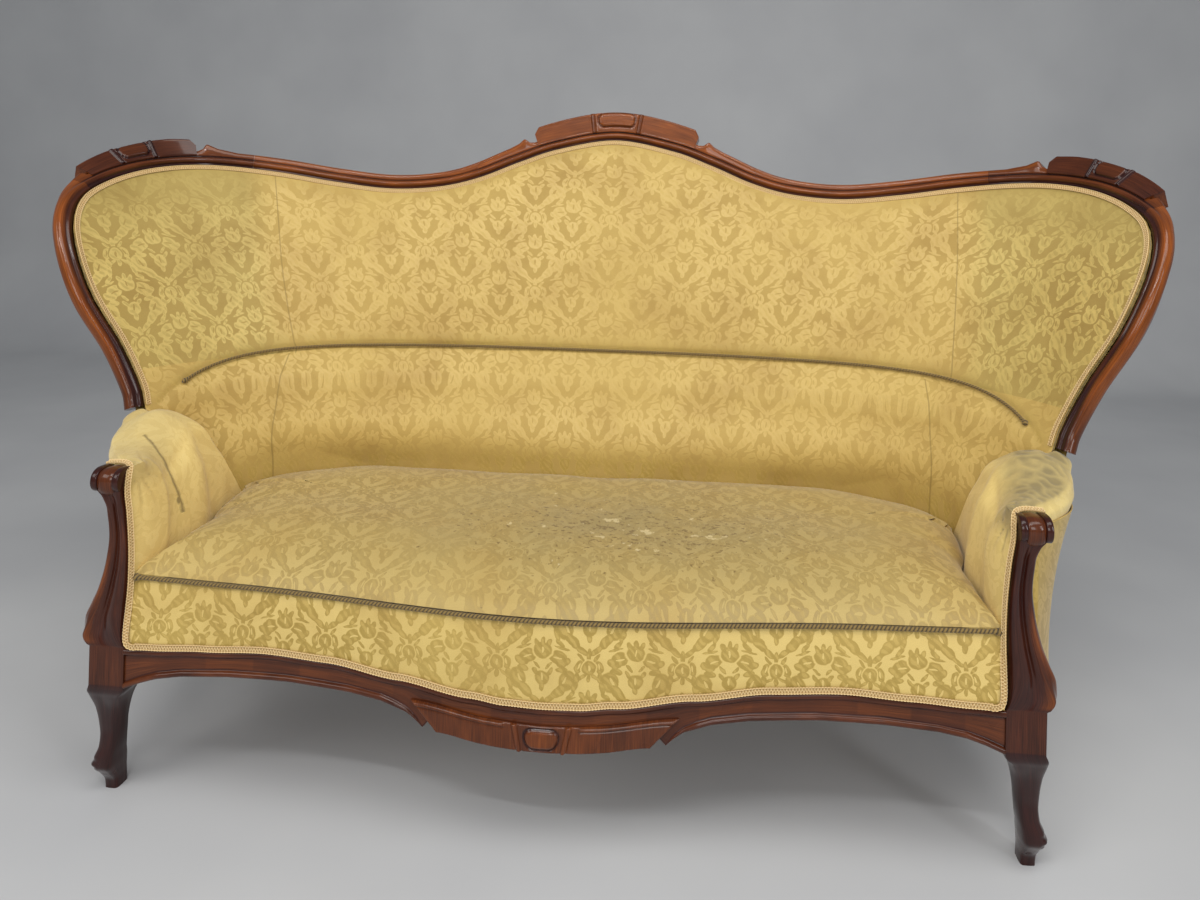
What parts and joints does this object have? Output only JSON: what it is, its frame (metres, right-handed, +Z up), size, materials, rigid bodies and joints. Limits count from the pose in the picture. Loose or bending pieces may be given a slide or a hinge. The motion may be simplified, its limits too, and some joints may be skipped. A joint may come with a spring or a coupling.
{
  "type": "sofa",
  "caption": "Upholstered show-wood sofa with a serpentine wrap-around back, low padded arms, cabriole front legs and a sprung seat.",
  "frame": {"origin": "on the floor under the middle of the whole box: the middle of its width and of its depth", "axes": "+X along the sofa towards its left-hand end as one sits on it, -Y towards the front, +Z up"},
  "size_m": [1.9682, 0.7612, 1.1027],
  "materials": {
    "show_wood": "French-polished mahogany, dark red-brown with high gloss",
    "beech": "bare planed beech",
    "damask": "gold silk-like damask with tone-on-tone scroll and flower pattern",
    "outside_cover": "plain tightened gold damask",
    "gimp": "woven gimp braid with zigzag edge",
    "piping": "twisted olive-gold cord",
    "webbing": "woven jute",
    "spring_wire": "coppered spring wire"
  },
  "bodies": {
    "root": {"front_post_left": "show_wood", "front_post_right": "show_wood", "front_rail": "show_wood", "apron_tablet": "show_wood", "crest_rail": "show_wood", "crest_link_left": "show_wood", "crest_link_right": "show_wood", "shoulder_left": "show_wood", "shoulder_right": "show_wood", "stile_left": "show_wood", "stile_right": "show_wood", "crest_tablet": "show_wood", "shoulder_tablet_left": "show_wood", "shoulder_tablet_right": "show_wood", "frame_dowels": "beech", "back_leg_left": "beech", "back_leg_right": "beech", "side_rail_left": "beech", "side_rail_right": "beech", "rear_rail": "beech", "front_ledger": "beech", "seat_brace": "beech", "corner_blocks": "beech", "corner_upright_left": "beech", "corner_upright_right": "beech", "back_upright_left": "beech", "back_upright_right": "beech", "tacking_rail": "beech", "arm_upright_left": "beech", "arm_upright_right": "beech", "arm_rail_left": "beech", "arm_rail_right": "beech", "webbing_long": "webbing", "webbing_cross": "webbing", "seat_springs": "spring_wire", "spring_hessian": "webbing", "seat_cushion": "damask", "seat_border": "damask", "seat_piping": "piping", "rail_gimp": "gimp", "inside_back": "damask", "lumbar_piping": "piping", "back_gimp": "gimp", "outside_back": "outside_cover", "arm_pad_left": "damask", "arm_pad_right": "damask", "arm_gimp_left": "gimp", "arm_gimp_right": "gimp", "outside_arm_left": "outside_cover", "outside_arm_right": "outside_cover"}
  },
  "joints": []
}
